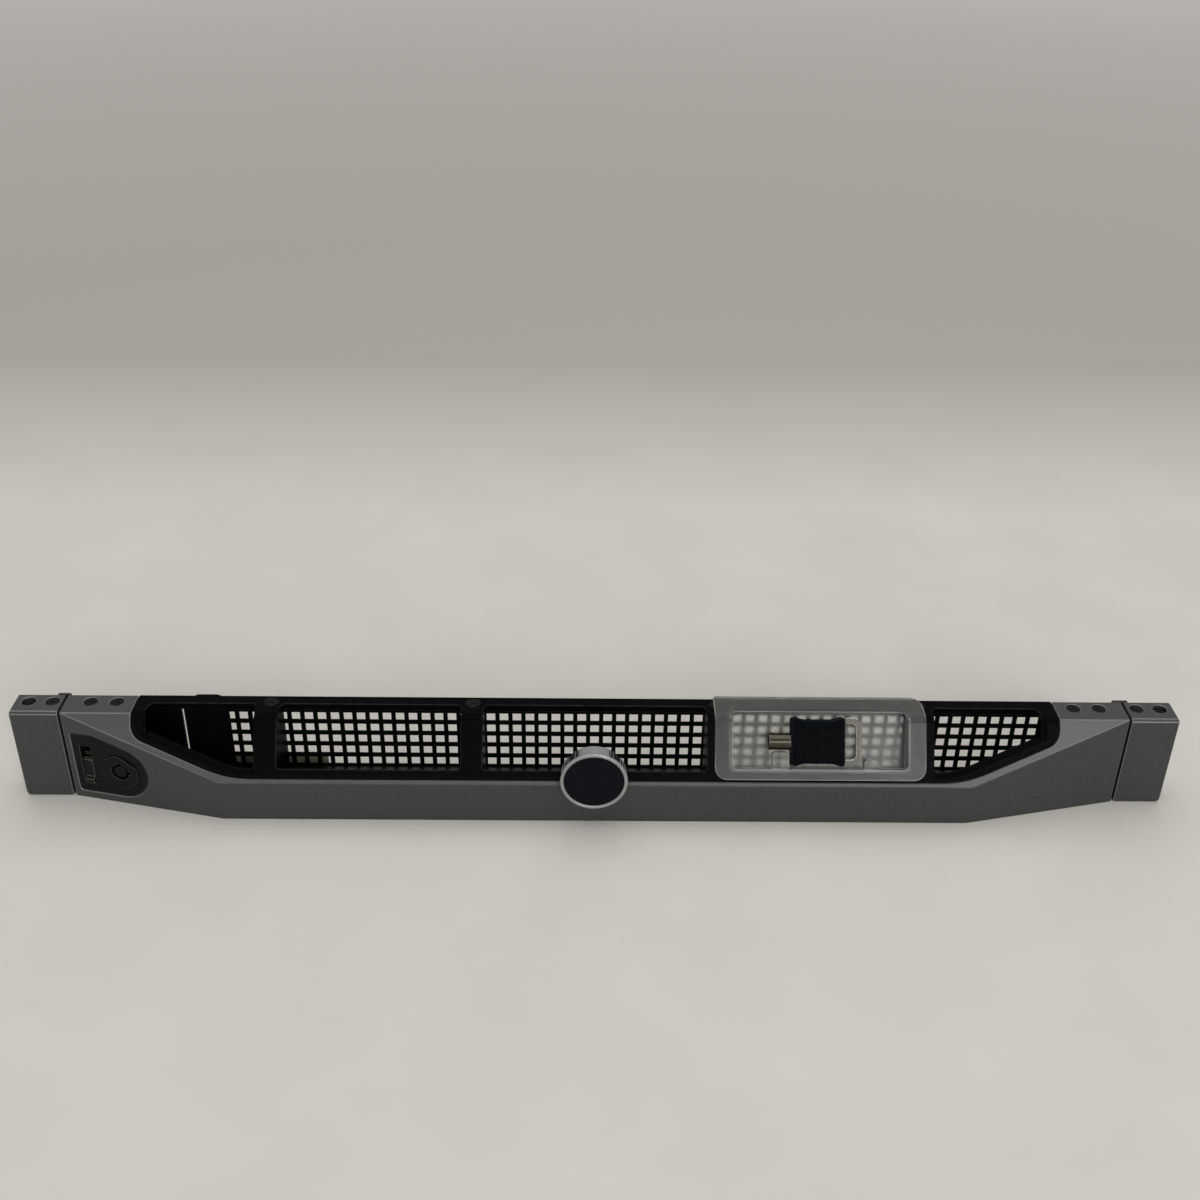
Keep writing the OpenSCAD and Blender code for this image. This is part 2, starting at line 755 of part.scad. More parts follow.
module lock_nut() {
    color([0.6, 0.58, 0.5]) on_front() translate([lock_s, flange_y + flange_t, lock_z])
        rotate([-90, 0, 0]) difference() {
            cylinder(d = 17, h = nut_t, $fn = 6);
            translate([0, 0, -1]) cylinder(d = barrel_d + 0.1, h = nut_t + 2);
        }
}

// Turning core: a post inside the keyway, the pin barrel and a square drive
module lock_core() {
    drive = 4.6;
    color([0.62, 0.6, 0.55]) on_front() translate([lock_s, 0, lock_z]) rotate([-90, 0, 0])
        difference() {
            union() {
                translate([0, 0, 0.2]) cylinder(d = post_d, h = keyway_y);
                translate([0, 0, keyway_y]) cylinder(d = core_d, h = barrel_y1 + 0.2 - keyway_y);
                translate([-drive/2, -drive/2, barrel_y1])
                    cube([drive, drive, cam_y - barrel_y1 + cam_t]);
            }
            translate([0, 0, barrel_y1 - 3]) cylinder(d = 2.6, h = 8);
        }
}

module lock_cam() {
    drive = 4.6;
    color([0.62, 0.62, 0.6]) on_front() translate([lock_s, cam_y, lock_z]) rotate([-90, 0, 0])
        difference() {
            union() {
                cylinder(d = 9.6, h = cam_t);
                translate([-3.2, -cam_len, 0]) cube([6.4, cam_len, cam_t]);
            }
            translate([-drive/2 - 0.05, -drive/2 - 0.05, -1])
                cube([drive + 0.1, drive + 0.1, cam_t + 2]);
        }
}

module cam_screw() {
    color([0.6, 0.6, 0.58]) on_front() translate([lock_s, cam_y + cam_t, lock_z])
        rotate([-90, 0, 0]) {
            difference() {
                cylinder(d = 6.4, h = 1.2);
                for (a = [0, 90]) rotate([0, 0, a]) translate([-1.5, -0.3, 0.5]) cube([3, 0.6, 2]);
            }
            translate([0, 0, -3.6]) cylinder(d = 2.5, h = 3.7);
        }
}

// Thumb slider in the slot, with the shoe that keeps it behind the plate and a
// shelf for the spring
module release_slider() {
    w = slot_w - 2*latch_gap;
    z0 = slot_z0 + latch_gap;
    z1 = slot_z1 - latch_gap - latch_travel;
    shoe_half = 3.6;
    shelf_y = shoe_y + shoe_t;
    color([0.11, 0.11, 0.11]) on_front() {
        along_x(latch_s - w/2, latch_s + w/2) polygon([[-0.4, z0], [shoe_y + eps, z0],
            [shoe_y + eps, z1], [1.6, z1], [0.9, z1 - 0.8], [0.9, z0 + 3], [-0.4, z0 + 2]]);
        along_y(shoe_y, shelf_y) polygon(rounded([
            [latch_s - shoe_half, shoe_z0, 1], [latch_s + shoe_half, shoe_z0, 1],
            [latch_s + shoe_half, shoe_z1, 1], [latch_s - shoe_half, shoe_z1, 1]]));
        translate([latch_s - 2.4, shelf_y - eps, shoe_z1 - 2])
            cube([4.8, spring_y + 2.6 - shelf_y, 2]);
    }
}

module latch_hook() {
    y0 = shoe_y + shoe_t;
    y1 = y0 + 9.2;
    tip = (hook_reach + end_depth + latch_s*sin(face_a))/cos(face_a);
    color([0.62, 0.62, 0.6]) on_front() along_x(latch_s - 0.8, latch_s + 0.8)
        polygon(rounded([[y0, hook_z - 4, 0], [y1 + 2, hook_z - 4, 1], [tip, hook_z - 1, 0.6],
            [tip, hook_z + 5, 0.6], [tip - 2, hook_z + 5, 0.6], [tip - 2.4, hook_z + 1.6, 0.8],
            [y0 + 2, hook_z + 1.6, 0], [y0, hook_z + 3, 0]]));
}

// Coil spring between the slider's shelf and the plate's ledge: a short arc that
// is raised and turned together
module latch_spring() {
    turns = 5;
    h = spring_top - shoe_z1;
    arc = 360*spring_wire*turns/h;
    r0 = spring_d/2 - spring_wire;
    r1 = spring_d/2;
    steps = 5;
    color([0.7, 0.7, 0.7]) on_front() translate([latch_s, spring_y, shoe_z1])
        linear_extrude(h, twist = -360*turns, slices = 20*turns) polygon(concat(
            [for (i = [0:steps]) r1*[cos(arc*i/steps), sin(arc*i/steps)]],
            [for (i = [steps:-1:0]) r0*[cos(arc*i/steps), sin(arc*i/steps)]]));
}

// Places a child with its Z axis along -Y at the badge's centre, on the lip's face
module at_badge() {
    translate([badge_x, -lip_depth, badge_z]) rotate([90, 0, 0]) children();
}

// Ribbed body of the badge with its two rear posts
module badge_body() {
    core = badge_d - 2*badge_ring_w + 1;
    ribs = 60;
    color([0.08, 0.08, 0.09]) {
        difference() {
            at_badge() difference() {
                union() {
                    translate([0, 0, -badge_back]) cylinder(d = core, h = badge_out + badge_back - 1.4);
                    for (i = [0:ribs - 1]) rotate([0, 0, i*360/ribs])
                        translate([core/2 - 0.3, -0.35, -badge_back])
                            cube([0.9, 0.7, badge_out + badge_back - 1.6]);
                }
                badge_band(core/2, badge_d/2 + 1, -badge_back - 1, badge_out);
            }
            envelope(-0.02, rear = 1);
        }
        for (x = badge_post_x()) translate([badge_x + x, -lip_depth - 0.1, badge_post_z()])
            rotate([-90, 0, 0]) cylinder(d = 3, h = wall + 1.9);
    }
}

// Part of a ring round the badge's top, between two radii and two depths
module badge_band(r0, r1, z0, z1) {
    translate([0, 0, z0]) linear_extrude(z1 - z0) intersection() {
        difference() {
            circle(r = r1);
            circle(r = r0);
        }
        polygon([[0, 0], [-badge_d*0.51, badge_d], [badge_d*0.51, badge_d]]);
    }
}

// Ring with the band that runs back over the badge's top
module badge_ring() {
    r = badge_d/2;
    w = badge_ring_w;
    color([0.75, 0.75, 0.76]) difference() {
        at_badge() {
            translate([0, 0, badge_out - 1.4]) rotate_extrude()
                polygon([[r - w, 0], [r - 0.3, 0], [r, 0.4], [r, 1], [r - 0.4, 1.4],
                         [r - w + 0.4, 1.4], [r - w, 1.1]]);
            badge_band(r - w + 0.55, r - 0.3, -badge_back, badge_out - 1.39);
        }
        envelope(-0.02, rear = 1);
    }
}

module badge_face() {
    color([0.09, 0.1, 0.12]) at_badge() translate([0, 0, badge_out - 1.4])
        cylinder(d = badge_d - 2*badge_ring_w - 0.1, h = 0.9);
}

module badge_clips() {
    color([0.5, 0.5, 0.48]) for (x = badge_post_x())
        translate([badge_x + x, -lip_depth + wall, badge_post_z()]) rotate([-90, 0, 0]) difference() {
            cylinder(d = 6.4, h = 0.6);
            translate([0, 0, -1]) cylinder(d = 3.1, h = 3);
        }
}

// Tray and flange on the slanted face, with a fold that hooks over the top rail
module key_carrier() {
    color([0.75, 0.76, 0.76, 0.6]) {
        difference() {
            union() {
                carrier_sheet();
                tray_space(0);
            }
            tray_space(tray_t);
        }
        tray_pads();
    }
}

// Pads on the tray's floor, beside the key's tube and beyond its loop
module tray_pads() {
    v1 = window_v - 0.3 - tray_t/2;
    loop_x = key_x + 39.8;
    on_slope() translate([0, 0, -tray_d + tray_t/2]) linear_extrude(tray_d - tray_t/2 - 1.6) {
        polygon(rounded([[key_x + 1.8, -v1, 0], [bow_x0 - 0.5, -v1, 0],
                         [bow_x0 - 0.5, -key_v - 4.5, 1.2], [key_x + 1.8, -key_v - 4.5, 1.2]]));
        polygon(rounded([[loop_x, -v1, 0], [loop_x + 8, -v1, 0], [loop_x + 5.5, -v1 + 2.6, 2],
                         [loop_x + 2.5, -v1 + 4.6, 2], [loop_x, -v1 + 4.6, 1]]));
    }
}

// Sheet behind and over the top rail, down the chamfer and the slanted face
module carrier_sheet() {
    x0 = window_b + window_shift - carrier_lap;
    x1 = window_c + window_shift + carrier_lap;
    g = carrier_fit + carrier_t;
    y_low = -end_depth - (carrier_v + 2)*sin(tilt);
    z_low = overall_h + rise*(y_low + end_depth);
    z_leg = overall_h - 5;
    intersection() {
        along_x(x0 - 1, x1 + 1) polygon(concat(
            [[g, z_leg], [g, overall_h + g], edge_a(g), edge_b(g), [y_low, z_low + g*rise_n]],
            [[y_low, z_low + carrier_fit*rise_n], edge_b(carrier_fit), edge_a(carrier_fit),
             [carrier_fit, overall_h + carrier_fit], [carrier_fit, z_leg]]));
        on_slope() translate([0, 0, -overall_h]) linear_extrude(2*overall_h)
            polygon(rounded([[x0, overall_h, 0], [x0, -carrier_v, 5],
                             [x1, -carrier_v, 5], [x1, overall_h, 0]]));
        linear_extrude(2*overall_h) polygon(rounded([[x0, -overall_h, 0],
            [x1, -overall_h, 0], [x1, g, 6], [x0, g, 2]]));
    }
}

// Upper and lower corner of the frame's front chamfer, moved out by g
function edge_a(g) = let (k = rise/3)
    [-end_depth + frame_edge - g*(sqrt(1 + k*k) - 1)/k, overall_h + g];
function edge_b(g) = let (
    k = rise/3,
    y = -(k*frame_edge + g*(rise_n - sqrt(1 + k*k)))/(rise - k))
    [y - end_depth, overall_h + rise*y + g*rise_n];

// The tray's outside, or its inside with the walls' thickness t
module tray_space(t) {
    x0 = window_b + window_shift + 0.5 + t;
    x1 = window_c + window_shift - 0.5 - t;
    top = t > 0 ? 3 : carrier_fit + carrier_t/2;
    v1 = window_v - 0.3 - t;
    rear = -top_rail_d - 0.3 - t;
    flare = window_flare;
    intersection() {
        on_slope() translate([0, 0, -tray_d + t]) linear_extrude(tray_d - t + top)
            polygon(rounded([[x0, -v1, 2], [x1, -v1, 2], [x1, tray_up - t, 3],
                             [x0, tray_up - t, 2]]));
        linear_extrude(overall_h + top)
            polygon([[x0 + flare, rear], [x0 - 1, rear - flare - 1], [x0 - 1, -overall_h],
                     [x1 + 1, -overall_h], [x1 + 1, rear - flare - 1], [x1 - flare, rear]]);
    }
}

module key_tube() {
    color([0.72, 0.7, 0.66]) on_slope() translate([key_x, -key_v, key_w])
        rotate([0, 90, 0])
        difference() {
            cylinder(d = key_d, h = bow_x0 - key_x);
            translate([0, 0, -1]) cylinder(d = key_d - 1.6, h = 8.5);
        }
}

// Moulded grip of the key, waisted in the middle
module key_bow() {
    color([0.09, 0.1, 0.12]) on_slope() translate([0, -key_v, key_w - 2.3]) linear_extrude(4.6)
        polygon(rounded([[bow_x0, -bow_h + 0.7, 0.8], [bow_x0 + 2, -bow_h, 1],
                         [bow_x0 + 5, -bow_h + 1.2, 5], [bow_x1 - 5, -bow_h + 1.2, 5],
                         [bow_x1 - 1.6, -bow_h, 1], [bow_x1, -bow_h + 0.7, 0.8],
                         [bow_x1, bow_h - 0.7, 0.8], [bow_x1 - 1.6, bow_h, 1],
                         [bow_x1 - 5, bow_h - 1.2, 5], [bow_x0 + 5, bow_h - 1.2, 5],
                         [bow_x0 + 2, bow_h, 1], [bow_x0, bow_h - 0.7, 0.8]]));
}

// Flat metal loop at the end of the grip
module key_loop() {
    half = bow_h - 0.3;
    x0 = bow_x1;
    x1 = bow_x1 + loop_len;
    w = loop_w;
    color([0.75, 0.75, 0.75]) on_slope() translate([0, -key_v, key_w - loop_t/2])
        linear_extrude(loop_t) difference() {
            polygon(rounded([[x0, -half, 0], [x1, -half, 4], [x1, half, 4], [x0, half, 0]]));
            translate([-1, 0]) polygon(rounded([[x0, w - half, 0], [x1 - w + 1, w - half, 1.8],
                                                [x1 - w + 1, half - w, 1.8], [x0, half - w, 0]]));
        }
}

front_fascia();
window_frame();
grille();
left_end_cap();
right_end_cap();
left_bracket();
right_bracket();
grille_blank();
lock_cover();
cap_screws();
fascia_screws();
frame_screws();
lock_plate();
lock_barrel();
lock_nut();
lock_core();
lock_cam();
cam_screw();
release_slider();
latch_hook();
latch_spring();
badge_body();
badge_ring();
badge_face();
badge_clips();
key_carrier();
key_tube();
key_bow();
key_loop();
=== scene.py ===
"""Visual model of a one-unit server front bezel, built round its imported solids."""

import json
import math

import bmesh
import bpy
from mathutils import Matrix, Vector


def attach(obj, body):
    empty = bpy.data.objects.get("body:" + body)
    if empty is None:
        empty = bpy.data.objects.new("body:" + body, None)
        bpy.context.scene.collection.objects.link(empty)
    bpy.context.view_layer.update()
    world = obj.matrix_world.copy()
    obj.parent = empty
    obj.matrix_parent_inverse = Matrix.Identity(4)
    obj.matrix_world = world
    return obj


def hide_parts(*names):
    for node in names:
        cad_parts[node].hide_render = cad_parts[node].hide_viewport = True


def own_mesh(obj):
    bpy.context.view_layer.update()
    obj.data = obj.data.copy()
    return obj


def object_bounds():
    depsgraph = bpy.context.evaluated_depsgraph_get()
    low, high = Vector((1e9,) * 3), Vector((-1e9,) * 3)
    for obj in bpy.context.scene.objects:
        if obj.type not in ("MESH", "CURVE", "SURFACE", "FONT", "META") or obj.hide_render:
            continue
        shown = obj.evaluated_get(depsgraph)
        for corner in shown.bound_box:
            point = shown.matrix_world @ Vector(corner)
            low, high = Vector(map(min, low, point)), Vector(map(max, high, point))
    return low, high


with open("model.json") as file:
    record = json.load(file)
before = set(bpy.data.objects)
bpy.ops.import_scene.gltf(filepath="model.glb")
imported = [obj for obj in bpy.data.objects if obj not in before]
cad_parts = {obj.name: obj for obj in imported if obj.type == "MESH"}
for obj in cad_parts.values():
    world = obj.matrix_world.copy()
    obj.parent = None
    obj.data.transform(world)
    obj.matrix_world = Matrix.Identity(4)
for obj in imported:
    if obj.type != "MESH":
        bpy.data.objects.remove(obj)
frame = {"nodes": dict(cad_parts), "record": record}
NODES = frame["nodes"]
CAD_BOX = [list(corner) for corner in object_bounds()]
MM = 0.001
WELD = 2e-6  # metres within which vertices are one
MIX_FACTOR, MIX_A, MIX_B, MIX_OUT = 0, 6, 7, 2  # of a Mix node, whose names repeat

# ---------------------------------------------------------------- materials


class Paint:
    """A Principled material built up from procedural layers in object space."""

    def __init__(self, name, color, roughness, metallic=0.0, **sockets):
        self.mat = bpy.data.materials.new(name)
        self.mat.use_nodes = True
        self.tree = self.mat.node_tree
        self.shader = self.tree.nodes["Principled BSDF"]
        self.color = color
        self.set("Metallic", metallic)
        self.set("Base Color", (*color, 1.0))
        self.set("Roughness", roughness)
        for key, value in sockets.items():
            self.set(key.replace("_", " "), value)
        self.place = self.add("ShaderNodeTexCoord").outputs["Object"]
        self.bump = None
        self.tint = None

    def set(self, socket, value):
        self.shader.inputs[socket].default_value = value

    def add(self, kind, **settings):
        node = self.tree.nodes.new(kind)
        for key, value in settings.items():
            setattr(node, key, value)
        return node

    def link(self, a, b):
        self.tree.links.new(a, b)

    def noise(self, size, detail=2.0, stretch=(1, 1, 1), seed=0.0):
        """Noise whose features are about size metres across, from 0 to 1."""
        mapping = self.add("ShaderNodeMapping")
        mapping.inputs["Scale"].default_value = [k / size for k in stretch]
        mapping.inputs["Location"].default_value = (seed, seed * 0.7, seed * 1.3)
        self.link(self.place, mapping.inputs["Vector"])
        node = self.add("ShaderNodeTexNoise")
        node.inputs["Scale"].default_value = 1.0
        node.inputs["Detail"].default_value = detail
        self.link(mapping.outputs["Vector"], node.inputs["Vector"])
        return node.outputs["Fac"]

    def ramp(self, fac, low, high, to_low=0.0, to_high=1.0):
        """Takes a value from the range low to high into to_low to to_high."""
        node = self.add("ShaderNodeMapRange")
        node.inputs["From Min"].default_value = low
        node.inputs["From Max"].default_value = high
        node.inputs["To Min"].default_value = to_low
        node.inputs["To Max"].default_value = to_high
        self.link(fac, node.inputs["Value"])
        return node.outputs["Result"]

    def layer(self, fac, color):
        """Lays a colour over the base where fac is 1."""
        node = self.add("ShaderNodeMix", data_type="RGBA")
        node.inputs[MIX_A].default_value = (*self.color, 1.0)
        if self.tint is not None:
            self.link(self.tint, node.inputs[MIX_A])
        node.inputs[MIX_B].default_value = (*color, 1.0)
        self.link(fac, node.inputs[MIX_FACTOR])
        self.tint = node.outputs[MIX_OUT]
        self.link(self.tint, self.shader.inputs["Base Color"])
        return self

    def mottle(self, size, amount, detail=2.0, seed=0.0):
        """Makes the colour lighter and darker by up to amount."""
        fac = self.noise(size, detail, seed=seed)
        for limit, share in ((0.72, 1 + amount), (0.28, 1 - amount)):
            self.layer(self.ramp(fac, 0.5, limit), [c * share for c in self.color])
        return self

    def side(self):
        """Distance from the middle of the part, to either side."""
        parts = self.add("ShaderNodeSeparateXYZ")
        self.link(self.place, parts.inputs["Vector"])
        away = self.add("ShaderNodeMath", operation="ABSOLUTE")
        self.link(parts.outputs["X"], away.inputs[0])
        return away.outputs["Value"]

    def rough(self, size, low, high, detail=2.0, stretch=(1, 1, 1)):
        """Lets the roughness wander between low and high."""
        fac = self.noise(size, detail, stretch, seed=3.1)
        self.link(self.ramp(fac, 0.35, 0.65, low, high), self.shader.inputs["Roughness"])
        return self

    def relief(self, size, depth, detail=1.0, stretch=(1, 1, 1)):
        """Adds a bump of depth metres."""
        node = self.add("ShaderNodeBump")
        node.inputs["Distance"].default_value = depth
        node.inputs["Strength"].default_value = 1.0
        self.link(self.noise(size, detail, stretch, seed=5.7), node.inputs["Height"])
        if self.bump is not None:
            self.link(self.bump, node.inputs["Normal"])
        self.bump = node.outputs["Normal"]
        self.link(self.bump, self.shader.inputs["Normal"])
        return self

    def edge(self):
        """1 on the rounded edges that get wear and painted highlights, 0 elsewhere; refined()
        writes it.
        """
        return self.add("ShaderNodeAttribute", attribute_name="edge").outputs["Fac"]

    def times(self, a, b):
        node = self.add("ShaderNodeMath", operation="MULTIPLY")
        self.link(a, node.inputs[0])
        self.link(b, node.inputs[1])
        return node.outputs["Value"]

    def wear_and_highlight(self, color, strength=1.0):
        """Lightens the rounded edges, partly as wear and partly as painted highlights, more in some
        places than in others.
        """
        patchy = self.ramp(self.noise(0.004, 3.0, seed=9.2), 0.3, 0.7, 0.35 * strength, strength)
        return self.layer(self.times(self.edge(), patchy), color)


def linear(r, g, b):
    """Linear colour of an 8-bit screen colour."""
    return [((v / 255 + 0.055) / 1.055) ** 2.4 if v > 10 else v / 255 / 12.92
            for v in (r, g, b)]


# The edge lightening on the materials below is partly wear and partly painted highlights along
# ridges and rims.
gunmetal = Paint("gunmetal paint", linear(63, 65, 65), 0.42, 0.35, Specular_IOR_Level=0.5)
gunmetal.mottle(0.00055, 0.14, 0.0).relief(0.0006, 0.00002, 0.0)
gunmetal.wear_and_highlight(linear(92, 94, 95), 0.5)
# painted highlights along the ridges: the edges are lighter towards the ends
gunmetal.layer(gunmetal.times(gunmetal.edge(), gunmetal.ramp(gunmetal.side(), 0.14, 0.2, 0, 0.4)),
               linear(150, 152, 153))

black = Paint("frame plastic", linear(5, 5, 6), 0.42, Specular_IOR_Level=0.02)
black.mottle(0.0008, 0.2, 0.0).rough(0.001, 0.34, 0.46, 0.0).relief(0.0007, 0.00002, 0.0)
# painted highlights along the frame's window edges, with some wear: the rounded edges are lightened
black.wear_and_highlight(linear(58, 59, 61), 0.6)

sheet = Paint("grille paint", linear(8, 8, 8), 0.5, Specular_IOR_Level=0.04)
sheet.mottle(0.001, 0.25).rough(0.001, 0.42, 0.6).relief(0.0009, 0.00002)

lock_black = Paint("lock plastic", linear(18, 18, 18), 0.3, Specular_IOR_Level=0.1)
lock_black.mottle(0.0008, 0.15, 0.0).rough(0.001, 0.26, 0.36, 0.0).relief(0.0007, 0.00002, 0.0)
# painted highlights: the lock's rounded edges are lightened
lock_black.wear_and_highlight(linear(72, 73, 71), 0.7)

slider_black = Paint("slider plastic", linear(16, 16, 15), 0.3, Specular_IOR_Level=0.15)
slider_black.mottle(0.0008, 0.15, 0.0).rough(0.001, 0.26, 0.36, 0.0)
# painted highlights: the slider's rounded edges are lightened
slider_black.relief(0.0007, 0.00002, 0.0).wear_and_highlight(linear(112, 110, 98), 0.65)

screw_black = Paint("black screws", linear(10, 10, 10), 0.36, 0.2, Specular_IOR_Level=0.1)
screw_black.mottle(0.0008, 0.25).rough(0.0008, 0.28, 0.45).relief(0.0008, 0.00001)
# painted highlights: the screws' rounded edges are lightened
screw_black.wear_and_highlight(linear(88, 87, 84), 0.8)

bracket_steel = Paint("bracket steel", linear(142, 140, 118), 0.5, 0.25)
bracket_steel.mottle(0.003, 0.1).rough(0.004, 0.42, 0.58, stretch=(0.1, 1, 1))
bracket_steel.relief(0.0008, 0.00001, stretch=(0.05, 1, 1)).wear_and_highlight(linear(170, 168, 158), 0.6)
# darker from 0.19 m out from the middle, over the plates under the end caps; lighter on the strip
# behind the grille
bracket_steel.layer(bracket_steel.ramp(bracket_steel.side(), 0.188, 0.192), linear(20, 19, 18))

steel = Paint("plated steel", linear(150, 150, 146), 0.35, 0.9)
steel.mottle(0.003, 0.12).rough(0.004, 0.28, 0.45, stretch=(0.1, 1, 1))
steel.relief(0.0008, 0.00001, stretch=(0.05, 1, 1))

silver = Paint("satin chrome", linear(143, 144, 143), 0.34, 0.5)
silver.mottle(0.002, 0.05).rough(0.002, 0.28, 0.4).relief(0.0009, 0.000006)
silver.wear_and_highlight(linear(205, 206, 206), 0.5)

gloss = Paint("badge face", linear(12, 16, 20), 0.22, Specular_IOR_Level=0.06)
gloss.mottle(0.003, 0.1).rough(0.004, 0.18, 0.26).relief(0.002, 0.000004)

ribbed = Paint("badge plastic", linear(13, 14, 15), 0.36, Specular_IOR_Level=0.2)
ribbed.mottle(0.0009, 0.2).rough(0.0009, 0.3, 0.44).relief(0.0008, 0.00002)
# painted glints: the ribs' rounded edges are lightened
ribbed.wear_and_highlight(linear(165, 167, 169), 1.0)

nickel = Paint("key nickel", linear(76, 72, 63), 0.2, 0.95)
nickel.mottle(0.001, 0.1).rough(0.0012, 0.15, 0.26, stretch=(0.2, 1, 1))
# painted highlights: the tube's rounded ends are lightened into bright rings
nickel.relief(0.0006, 0.000008, stretch=(0.1, 1, 1)).wear_and_highlight(linear(215, 212, 203), 0.8)

loop_nickel = Paint("key loop nickel", linear(58, 57, 53), 0.26, 0.9)
loop_nickel.mottle(0.004, 0.05, 0.0).rough(0.004, 0.24, 0.3)
# painted highlights: the loop's rounded edges are lightened into bright lines
loop_nickel.relief(0.0006, 0.000008).wear_and_highlight(linear(225, 223, 215), 0.9)

grip = Paint("key grip", linear(3, 5, 8), 0.42, Specular_IOR_Level=0.02)
grip.mottle(0.0008, 0.2, 0.0).rough(0.0009, 0.38, 0.5, 0.0).relief(0.0008, 0.00003, 0.0)
grip.wear_and_highlight(linear(40, 48, 56), 0.5)

CLEAR = 0.97  # share of light that goes through the carrier, away from its edges
frosted = Paint("frosted carrier", linear(215, 216, 211), 0.32, Transmission_Weight=CLEAR,
                IOR=1.3, Specular_IOR_Level=0.35)
# painted highlights: the carrier's rounded rims are whiter and let less light through
frosted.mottle(0.006, 0.03).rough(0.003, 0.29, 0.35).wear_and_highlight(linear(244, 246, 247), 1.0)
frosted.link(frosted.ramp(frosted.edge(), 0.2, 1, CLEAR, 0.5),
             frosted.shader.inputs["Transmission Weight"])

FINISH = {
    "front_fascia": gunmetal, "left_end_cap": gunmetal, "right_end_cap": gunmetal,
    "window_frame": black, "lock_cover": black, "grille": sheet, "grille_blank": sheet,
    "left_bracket": bracket_steel, "right_bracket": bracket_steel, "cap_screws": screw_black,
    "fascia_screws": screw_black, "frame_screws": screw_black, "lock_plate": lock_black,
    "lock_barrel": lock_black, "release_slider": slider_black, "lock_nut": steel,
    "lock_core": lock_black, "lock_cam": steel, "cam_screw": steel, "latch_hook": steel,
    # painted shade: the steel return spring takes the black grille paint, for the dark of the slot
    # it sits in
    "latch_spring": sheet, "badge_clips": steel, "badge_body": ribbed, "badge_ring": silver,
    "badge_face": gloss, "key_carrier": frosted, "key_tube": nickel, "key_loop": loop_nickel,
    "key_bow": grip,
}
for name, finish in FINISH.items():
    NODES[name].data.materials.clear()
    NODES[name].data.materials.append(finish.mat)

# ------------------------------------------------------------------- pieces

BODY = {n: b for b, members in frame["record"]["behaviour"]["bodies"].items() for n in members}
TURN, SLIDE = (next(j for j in frame["record"]["behaviour"]["joints"] if j["name"] == name)
               for name in ("lock_turn", "release_slide"))
LOCK_AT, LOCK_AXIS = Vector(TURN["pos_m"]), Vector(TURN["axis"])

# width in millimetres of each piece's rounded edges
ROUNDING = {
    "front_fascia": 0.45, "left_end_cap": 0.4, "right_end_cap": 0.4, "window_frame": 0.45,
    "lock_plate": 0.5, "lock_barrel": 0.35, "release_slider": 0.3, "lock_core": 0.15,
    "key_carrier": 0.28, "key_bow": 0.9, "key_loop": 0.4, "cap_screws": 0.12,
    "fascia_screws": 0.12, "frame_screws": 0.12, "badge_body": 0.15, "badge_ring": 0.2,
    "badge_face": 0.15, "left_bracket": 0.25, "right_bracket": 0.25, "latch_hook": 0.2,
    "grille_blank": 0.2, "key_tube": 0.15,
}
FINE = 0.12 * MM        # width of the edges of small features
HAS_FINE = ("window_frame", "lock_plate", "lock_barrel", "badge_body")
CURVED = ("window_frame", "key_carrier")  # their slight bends are rounded, but get neither wear nor painted highlight
RIM_GAP = 0.3 * MM      # depth taken off the lock's collar, as a gap in its plate
# angles between faces, in degrees
FLAT = 0.4              # faces are merged up to here
SMOOTH = 40             # edges are shaded smooth up to here
BEND, CREASE = 28, 62   # least angle of an edge that is rounded, and most of a slight bend
SHARP = 55              # least angle of a fine edge


def piece(mesh, name, node):
    """Puts a mesh in the scene in place of a CAD node, on the node's body."""
    obj = bpy.data.objects.new(name, mesh)
    bpy.context.scene.collection.objects.link(obj)
    mesh.materials.clear()
    mesh.materials.append(FINISH[node].mat)
    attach(obj, BODY[node])
    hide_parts(node)
    return obj


def roomy(edge, width):
    """Whether both faces at an edge are wide enough for a rounding on both their sides."""
    start = edge.verts[0].co
    along = (edge.verts[1].co - start).normalized()
    return all(max((v.co - start).cross(along).length for v in face.verts) > 2.3 * width
               for face in edge.link_faces)


def pared(bm, depth):
    """Takes depth metres off the round rim at the front end of a part on the lock's axis."""
    along = {vert: (vert.co - LOCK_AT).dot(LOCK_AXIS) for vert in bm.verts}
    rim_length = 1.2 * MM
    tip = [vert for vert in bm.verts if along[vert] > max(along.values()) - rim_length]
    radial = {vert: vert.co - LOCK_AT - along[vert] * LOCK_AXIS for vert in tip}
    reach = max(offset.length for offset in radial.values())
    for vert, offset in radial.items():
        if offset.length > 0.93 * reach:
            vert.co -= depth * offset.normalized()


def rounded(bm, width, segments, least, most, mark, value):
    """Rounds the edges between least and most degrees, and marks the new faces with value."""
    edges = [e for e in bm.edges if len(e.link_faces) == 2
             and least < math.degrees(e.calc_face_angle(0)) < most and roomy(e, width)
             and not any(face[mark] for face in e.link_faces)]
    done = bmesh.ops.bevel(bm, geom=edges, offset=width, offset_type="OFFSET",
                           segments=segments, profile=0.5, affect="EDGES",
                           clamp_overlap=False, harden_normals=False)
    for face in done["faces"]:
        face[mark] = value


